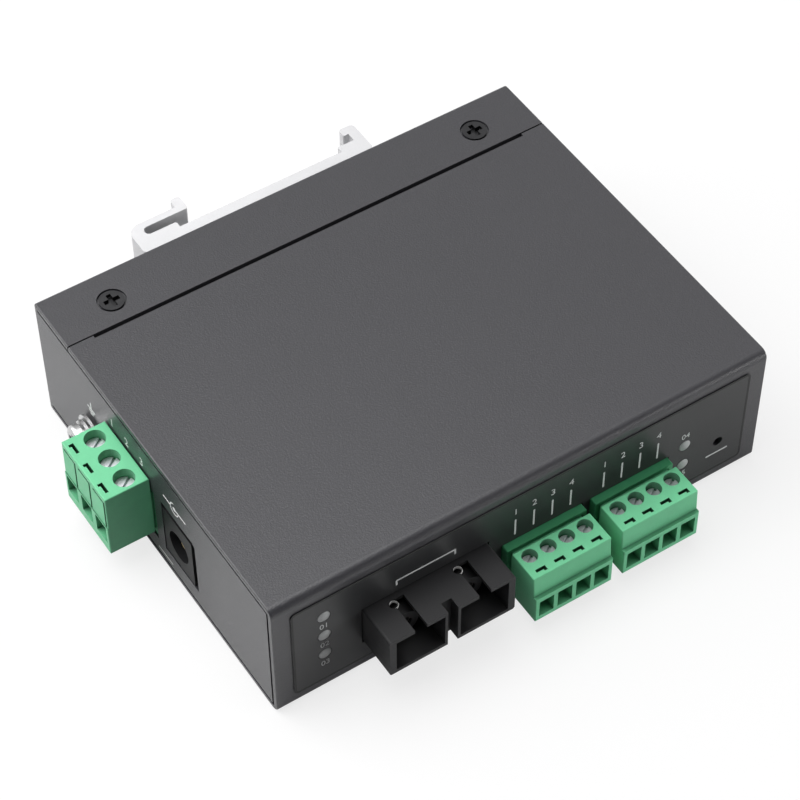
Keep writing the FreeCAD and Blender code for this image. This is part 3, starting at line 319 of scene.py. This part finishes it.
def circuit_board(name):
    """Solder resist over copper tracks, which show paler in two crossing sets of lines."""
    f = Finish(bpy.data.materials.new(name))
    along = f.node("ShaderNodeTexWave", {"bands_direction": "X"},
                   {"Vector": f.place(), "Scale": 0.16, "Distortion": 4.0, "Detail": 1.0}, 1)
    across = f.node("ShaderNodeTexWave", {"bands_direction": "Y"},
                    {"Vector": f.place(), "Scale": 0.13, "Distortion": 3.0, "Detail": 1.0}, 1)
    track = along.above(0.72).highest(across.above(0.78))
    return f.surface(Base_Color=f.blend(RESIST_GREEN, TRACK_GREEN, track),
                     Roughness=0.32 + 0.08 * f.noise(0.4),
                     Normal=f.relief(track, 0.03), Coat_Weight=0.3)


def ink_and_painted_shade_line(name, colour):
    """Screen-printed ink, thin in places; the same finish draws the black painted shade line round the film.
    """
    f = Finish(bpy.data.materials.new(name))
    mesh_marks = f.noise(0.14, 2.0)
    return f.surface(Base_Color=f.shade(colour, 0.70 + 0.5 * mesh_marks), Roughness=0.6 + 0.1 * mesh_marks)


def pale_rim_and_painted_highlight(name, colour):
    """Pale rim, partly a painted highlight, with darker flecks."""
    f = Finish(bpy.data.materials.new(name))
    fleck = f.noise(0.30, 3.0)
    return f.surface(Base_Color=f.shade(colour, 0.60 + 0.7 * fleck), Roughness=0.35 + 0.2 * fleck)


finishes = {
    "case_paint": powder_coat("case_powder_coat", CASE_GREY),
    "panel_film": dark_film("panel_film_satin", FILM_BLACK),
    "black_screw": plated("screw_black_oxide", OXIDE_BLACK, 0.30),
    "clip_aluminium": anodised("clip_anodised", ALUMINIUM),
    "bright_steel": plated("screw_nickel", NICKEL, 0.20, 0.002),
    "clamp_steel": plated("clamp_zinc", ZINC, 0.22),
    "tinned_pin": plated("pin_tin", TIN, 0.24),
    "contact_brass": plated("post_brass", BRASS, 0.26),
    "plug_green": moulded("plug_green_moulding", PLUG_GREEN, 0.40),
    "header_green": moulded("header_green_moulding", HEADER_GREEN, 0.40),
    "black_plastic": moulded("black_moulding", PLASTIC_BLACK, 0.44, gloss=0.28),
    "sleeve_ceramic": moulded("sleeve_ground_ceramic", CERAMIC, 0.18, 0.003),
    "tin_can": plated("shield_tinned_sheet", TIN, 0.28),
    "lamp_lens": frosted_lens("lamp_frosted_lens", LENS),
    "board_resin": circuit_board("board_solder_resist"),
    "chip_resin": moulded("chip_epoxy", RESIN_BLACK, 0.45),
    "can_aluminium": anodised("capacitor_can", ALUMINIUM),
}
front_ink = ink_and_painted_shade_line("front_panel_ink", FRONT_INK)
end_ink_painted_lighter = ink_and_painted_shade_line("power_end_ink", END_INK_PAINTED_LIGHTER)

for subpart in frame["record"]["subparts"]:
    dressed = nodes[subpart["node"]]
    dressed.data.materials.clear()
    dressed.data.materials.append(finishes[subpart["material_slot"]])
nodes["jack_body"].data.materials[0] = jack_moulding("jack_moulding", JACK_GREY)


def grid_faces(rows, columns, shapes, rows_closed):
    """Quads between neighbouring points of grids that close round their columns, for shapes in a row."""
    row, column = np.meshgrid(np.arange(rows if rows_closed else rows - 1), np.arange(columns), indexing="ij")
    after_row = (row + 1) % rows
    after_column = (column + 1) % columns
    corners = np.stack([row * columns + column, row * columns + after_column,
                        after_row * columns + after_column, after_row * columns + column], axis=-1)
    steps = np.arange(shapes)[:, None, None] * rows * columns
    return (corners.reshape(1, -1, 4) + steps).reshape(-1, 4)


def closed_piece(name, meshes, finish):
    """Object on the case from lists of points and faces, its poles merged and its faces turned outwards."""
    shape = bmesh.new()
    for points, faces in meshes:
        part = bpy.data.meshes.new(name)
        part.from_pydata(points, [], faces)
        shape.from_mesh(part)
        bpy.data.meshes.remove(part)
    bmesh.ops.remove_doubles(shape, verts=shape.verts, dist=MERGE_DISTANCE)
    bmesh.ops.recalc_face_normals(shape, faces=shape.faces)
    mesh = bpy.data.meshes.new(name)
    shape.to_mesh(mesh)
    shape.free()
    mesh.materials.append(finish)
    piece = bpy.data.objects.new(name, mesh)
    bpy.context.scene.collection.objects.link(piece)
    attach(piece, "case")


def section_turn():
    """Angles once round a section."""
    return np.linspace(0, 2 * math.pi, SECTION_POINTS, endpoint=False)


def flat_oval():
    """Oval with flattened sides: cosine and sine of a turn to a power below 1, with their signs kept."""
    turn = section_turn()
    across = np.sign(np.cos(turn)) * np.abs(np.cos(turn)) ** OVAL_POWER
    up = np.sign(np.sin(turn)) * np.abs(np.sin(turn)) ** OVAL_POWER
    return across, up


def strokes(lines, width, out):
    """Ink lines with round ends on a flat panel, from rows of two end points in millimetres.

    Rows run along a line, from half a width before its start to half a width past its end, and the half width
    there is that of a stadium: a chord of a circle at each end. Columns run once round a flat oval section,
    which is that wide and as high as the ink, and shrinks to a point at both ends.
    """
    ends = np.asarray(lines, float)
    along = ends[:, 1] - ends[:, 0]
    length = np.linalg.norm(along, axis=1)
    along = along / length[:, None]
    side = np.cross(along, np.asarray(out, float))
    quarter = np.linspace(0, math.pi / 2, END_POINTS)
    half = width / 2
    wide = half * np.concatenate([np.sin(quarter), np.cos(quarter)])
    reach = np.concatenate([np.tile(-half * np.cos(quarter), (len(ends), 1)),
                            length[:, None] + half * np.sin(quarter)], axis=1)
    across, up = flat_oval()
    high = INK_RISE * np.sqrt(wide / half)
    points = (ends[:, None, None, 0] + along[:, None, None] * reach[:, :, None, None]
              + side[:, None, None] * (wide[:, None] * across)[None, :, :, None]
              + np.asarray(out, float) * (high[:, None] * up)[None, :, :, None])
    return points.reshape(-1, 3) * MM, grid_faces(len(wide), SECTION_POINTS, len(ends), False)


def frame_line(low, high, face, width, bend):
    """Closed line along the inside of a rectangle with round corners, on a panel that faces -Y.

    Rows follow the rectangle: each quarter of a turn is an arc of the corner's radius about the corner's own
    centre, so the straight runs are the steps from one arc to the next. Columns run round a flat oval.
    """
    angle = np.linspace(0, 2 * math.pi, ROUND_POINTS, endpoint=False) + math.pi / ROUND_POINTS
    radius = bend - width / 2
    centre_x = np.where(np.cos(angle) > 0, high[0] - bend, low[0] + bend)
    centre_z = np.where(np.sin(angle) > 0, high[1] - bend, low[1] + bend)
    across, up = flat_oval()
    reach = radius + width / 2 * across
    x = centre_x[:, None] + np.cos(angle)[:, None] * reach
    z = centre_z[:, None] + np.sin(angle)[:, None] * reach
    y = np.broadcast_to(face - INK_RISE * up, x.shape)
    points = np.stack([x, y, z], axis=-1)
    return points.reshape(-1, 3) * MM, grid_faces(ROUND_POINTS, SECTION_POINTS, 1, True)


def rings(centres, radius, half_width, half_height, normal, first, last):
    """Open or whole rings of oval section about places in millimetres.

    Rows run round the ring from a first to a last angle and columns round its section. On an open ring the
    section shrinks to a point at both ends as the root of a half sine.
    """
    places = np.asarray(centres, float)
    normal = np.asarray(normal, float)
    one = np.array((0.0, 0.0, 1.0)) if abs(normal[2]) < 0.5 else np.array((1.0, 0.0, 0.0))
    two = np.cross(normal, one)
    whole = last - first > 359.9
    share = np.linspace(0, 1, ROUND_POINTS + 1)
    if whole:
        share = share[:-1]
    angle = np.radians(first + (last - first) * share)
    swell = np.ones_like(share) if whole else np.sin(math.pi * share) ** 0.25
    turn = section_turn()
    spoke = np.cos(angle)[:, None] * one + np.sin(angle)[:, None] * two
    distance = radius + half_width * swell[:, None] * np.cos(turn)
    height = half_height * swell[:, None] * np.sin(turn)
    ring = spoke[:, None] * distance[:, :, None] + normal * height[:, :, None]
    points = places[:, None, None] + ring[None]
    return points.reshape(-1, 3) * MM, grid_faces(len(share), SECTION_POINTS, len(places), whole)


def digits(words, places, size, right, out):
    """Raised numbers on a flat panel: font outlines of the ink's height, made meshes, then put in place."""
    right = Vector(right)
    out = Vector(out)
    turn = Matrix((right, out.cross(right), out)).transposed().to_4x4()
    made = []
    for word, place in zip(words, places):
        outline = bpy.data.curves.new("number", "FONT")
        outline.body = word
        outline.size = size * MM
        outline.extrude = INK_RISE * MM
        outline.align_x = "CENTER"
        outline.align_y = "CENTER"
        holder = bpy.data.objects.new("number", outline)
        mesh = bpy.data.meshes.new_from_object(holder)
        mesh.transform(Matrix.Translation(Vector(place) * MM) @ turn)
        made.append(([tuple(v.co) for v in mesh.vertices], [tuple(p.vertices) for p in mesh.polygons]))
        bpy.data.meshes.remove(mesh)
        bpy.data.objects.remove(holder)
        bpy.data.curves.remove(outline)
    return made


def middle(node):
    """Centre of a node's box at rest, in millimetres."""
    low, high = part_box(node)
    return (np.array(low) + np.array(high)) / 2 / MM


def lamp_centres(node, count):
    """Centres of a column of lamps in millimetres, highest first, from their common box."""
    low, high = (np.array(v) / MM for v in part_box(node))
    radius = (high[0] - low[0]) / 2
    return [((low[0] + high[0]) / 2, z) for z in np.linspace(high[2] - radius, low[2] + radius, count)]


def print_front():
    """Leaders and numbers over the signal terminals, lamp captions, lines at the port and reset, and a black
    line round the film that is painted shade of the gap at its edge.
    """
    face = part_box("front_film")[0][1] / MM
    pins = [middle(f"signal_{plug}_screw_{i}")[0] for plug in "ba" for i in (1, 2, 3, 4)]
    port = middle("fibre_housing")[0]
    reset = middle("reset_button")[0]
    lines = [[(x, face, LEADER_FROM), (x, face, LEADER_TO)] for x in pins]
    ends = (port - PORT_LINE_HALF, port + PORT_LINE_HALF)
    lines.append([(ends[0], face, PORT_LINE_HEIGHT), (ends[1], face, PORT_LINE_HEIGHT)])
    lines += [[(x, face, PORT_LINE_HEIGHT), (x, face, PORT_LINE_HEIGHT - PORT_TICK)] for x in ends]
    lines.append([(reset - RESET_LINE_HALF, face, RESET_LINE_HEIGHT),
                  (reset + RESET_LINE_HALF, face, RESET_LINE_HEIGHT)])
    numbers = [str(1 + i % 4) for i in np.argsort(np.argsort(pins))]
    right, out = (1, 0, 0), (0, -1, 0)
    upper, lower = lamp_centres("link_lamps", 2)
    captions = [(x, face, z - CAPTION_DROP) for x, z in lamp_centres("status_lamps", 3) + [lower]]
    captions.append((upper[0], face, upper[1] + CAPTION_DROP))
    meshes = [strokes(lines, LINE_WIDTH, out)]
    meshes += digits(numbers, [(x, face, DIGIT_HEIGHT) for x in pins], DIGIT_SIZE, right, out)
    meshes += digits(["01", "02", "03", "05", "04"], captions, SMALL_DIGIT_SIZE, right, out)
    closed_piece("front_print", meshes, front_ink)
    # Painted shade: a black line along the film's edge stands for the shadowed gap round it.
    low, high = (np.array(v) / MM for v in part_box("front_film"))
    border = frame_line((low[0], low[2]), (high[0], high[2]), face, BORDER_WIDTH, BORDER_ROUND)
    closed_piece("film_border", [border], ink_and_painted_shade_line("film_edge_painted_shade", FILM_EDGE_PAINTED_SHADE))


def print_power_end():
    """Numbers over the power terminals, and plain signs for earth and for the jack's polarity."""
    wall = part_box("rear_chassis")[0][0] / MM
    right, out = (0, -1, 0), (-1, 0, 0)
    pins = sorted((middle(f"power_screw_{i}")[1] for i in (1, 2, 3)), reverse=True)
    jack = middle("jack_body")[1]
    caption = jack + JACK_LINE_SHIFT
    earth = middle("earth_screw")[1]
    sign = POLARITY_HEIGHT
    lines = [[(wall, jack + POLARITY_REACH, sign), (wall, jack + POLARITY_RING, sign)],
             [(wall, jack, sign), (wall, jack - POLARITY_REACH, sign)],
             [(wall, caption + JACK_LINE_HALF, JACK_LINE_HEIGHT),
              (wall, caption - JACK_LINE_HALF, JACK_LINE_HEIGHT)],
             [(wall, earth, EARTH_SYMBOL_HEIGHT), (wall, earth, EARTH_SYMBOL_HEIGHT + EARTH_STEM)]]
    bars = [(half, EARTH_SYMBOL_HEIGHT - i * EARTH_BAR_STEP) for i, half in enumerate(EARTH_BARS)]
    lines += [[(wall, earth + half, height), (wall, earth - half, height)] for half, height in bars]
    centre = [(wall, jack, sign)]
    meshes = [strokes(lines, LINE_WIDTH, out),
              rings(centre, POLARITY_RING, LINE_WIDTH / 2, INK_RISE, out, 0, POLARITY_TURN),
              rings(centre, POLARITY_DOT / 2, POLARITY_DOT / 2, INK_RISE, out, 0, 360)]
    places = [(wall, y, POWER_DIGIT_HEIGHT) for y in pins]
    meshes += digits(["1", "2", "3"], places, END_DIGIT_SIZE, right, out)
    closed_piece("end_print", meshes, end_ink_painted_lighter)


def rim_port_bites():
    """Pale rims in the round bites of the fibre port's key slots, open where they meet the housing: partly
    the rim and partly a painted highlight on its lit side.
    """
    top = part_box("fibre_housing")[1][2] / MM
    centres = [(x, y, top - EYELET_HEIGHT) for x, y in EYELET_PLACES]
    # Painted highlight: the pale arc runs only round the lit side of each bite.
    meshes = [rings(centres, EYELET_RADIUS, EYELET_SECTION, EYELET_HEIGHT, (0, 0, 1), *EYELET_TURN)]
    closed_piece("port_eyelets", meshes, pale_rim_and_painted_highlight("eyelet_pale_painted_highlight", EYELET))


print_front()
print_power_end()
rim_port_bites()


def aim(place, target):
    """Turn that makes a lamp at a place shine at a target."""
    return (Vector(target) - Vector(place)).to_track_quat("-Z", "Y")


def softbox(name, place, target, width, height, watts):
    """Rectangular studio lamp."""
    lamp = bpy.data.lights.new(name, "AREA")
    lamp.shape = "RECTANGLE"
    lamp.size = width
    lamp.size_y = height
    lamp.energy = watts
    box = bpy.data.objects.new(name, lamp)
    box.location = place
    box.rotation_mode = "QUATERNION"
    box.rotation_quaternion = aim(place, target)
    bpy.context.scene.collection.objects.link(box)


def seen_directly(f):
    """1 for rays that come from the camera, a mirror surface or clear glass, otherwise 0."""
    kinds = [f.node("ShaderNodeLightPath", output=name)
             for name in ("Is Camera Ray", "Is Glossy Ray", "Is Transmission Ray")]
    return kinds[0].highest(kinds[1]).highest(kinds[2])


def make_world():
    """Even grey light, white where it is seen directly, with a dark front in mirror surfaces."""
    world = bpy.data.worlds.new("studio")
    f = Finish(world)
    ahead = f.node("ShaderNodeTexCoord", output="Generated")
    depth = f.node("ShaderNodeSeparateXYZ", None, {"Vector": ahead}, "Y")
    behind = f.node("ShaderNodeMapRange", None,
                    {0: depth, 1: FRONT_DEPTHS[0], 2: FRONT_DEPTHS[1], 3: FRONT_SHADE, 4: 1.0})
    shown = behind.highest(f.node("ShaderNodeLightPath", output="Is Camera Ray"))
    shade = f.blend(FILL_GREY, f.blend((0, 0, 0), (1, 1, 1), shown), seen_directly(f))
    f.node_output("ShaderNodeOutputWorld", f.node("ShaderNodeBackground", None, {"Color": shade}))
    bpy.context.scene.world = world


def make_floor():
    """Pale floor that keeps the shadow under the case, and grows plain white away from it."""
    f = Finish(bpy.data.materials.new("floor_paper"))
    direct = seen_directly(f)
    away = f.node("ShaderNodeVectorMath", {"operation": "LENGTH"}, {0: f.place()}, "Value")
    lit = f.node("ShaderNodeMapRange", None,
                 {0: away, 1: FLOOR_WHITENS[0], 2: FLOOR_WHITENS[1], 3: FLOOR_WHITE, 4: 1.0})
    paper = f.node("ShaderNodeBsdfDiffuse", None, {"Color": f.blend(PAPER_BOUNCE, PAPER_SEEN, direct)})
    white = f.node("ShaderNodeEmission", None, {"Color": (1, 1, 1, 1), "Strength": 1.0})
    share = f.node("ShaderNodeLightPath", output="Is Camera Ray") * lit
    mixed = f.node("ShaderNodeMixShader", None, {0: share, 1: paper, 2: white})
    f.node_output("ShaderNodeOutputMaterial", mixed)
    half, drop = FLOOR_HALF * MM, FLOOR_DROP * MM
    corners = [(-half, -half, -drop), (half, -half, -drop), (half, half, -drop), (-half, half, -drop)]
    mesh = bpy.data.meshes.new("floor")
    mesh.from_pydata(corners, [], [(0, 1, 2, 3)])
    mesh.materials.append(f.owner)
    floor = bpy.data.objects.new("floor", mesh)
    bpy.context.scene.collection.objects.link(floor)


def make_camera():
    """Camera of the photograph."""
    lens = bpy.data.cameras.new("camera")
    lens.sensor_width = SENSOR_MM
    lens.lens = SENSOR_MM * FOCAL_IN_SENSORS
    right = Vector(CAMERA_RIGHT).normalized()
    down = Vector(CAMERA_DOWN)
    down = (down - right * right.dot(down)).normalized()
    back = right.cross(-down)
    turn = Matrix((right, -down, back)).transposed().to_4x4()
    camera = bpy.data.objects.new("camera", lens)
    camera.matrix_world = Matrix.Translation(CAMERA_PLACE) @ turn
    bpy.context.scene.collection.objects.link(camera)
    bpy.context.scene.camera = camera


make_camera()
make_world()
make_floor()
softbox("key_from_back_left", place=(-0.56, 0.46, 0.46), target=(0, 0, 0.01),
        width=0.9, height=0.6, watts=5.4)
softbox("over_the_top", place=(-0.17, 0.14, 0.75), target=(0, 0, 0),
        width=0.7, height=0.7, watts=6.0)
softbox("low_fill_from_right", place=(0.52, -0.34, 0.10), target=(0.02, -0.04, 0.01),
        width=0.5, height=0.14, watts=3.1)
bpy.context.scene.view_settings.view_transform = "Standard"
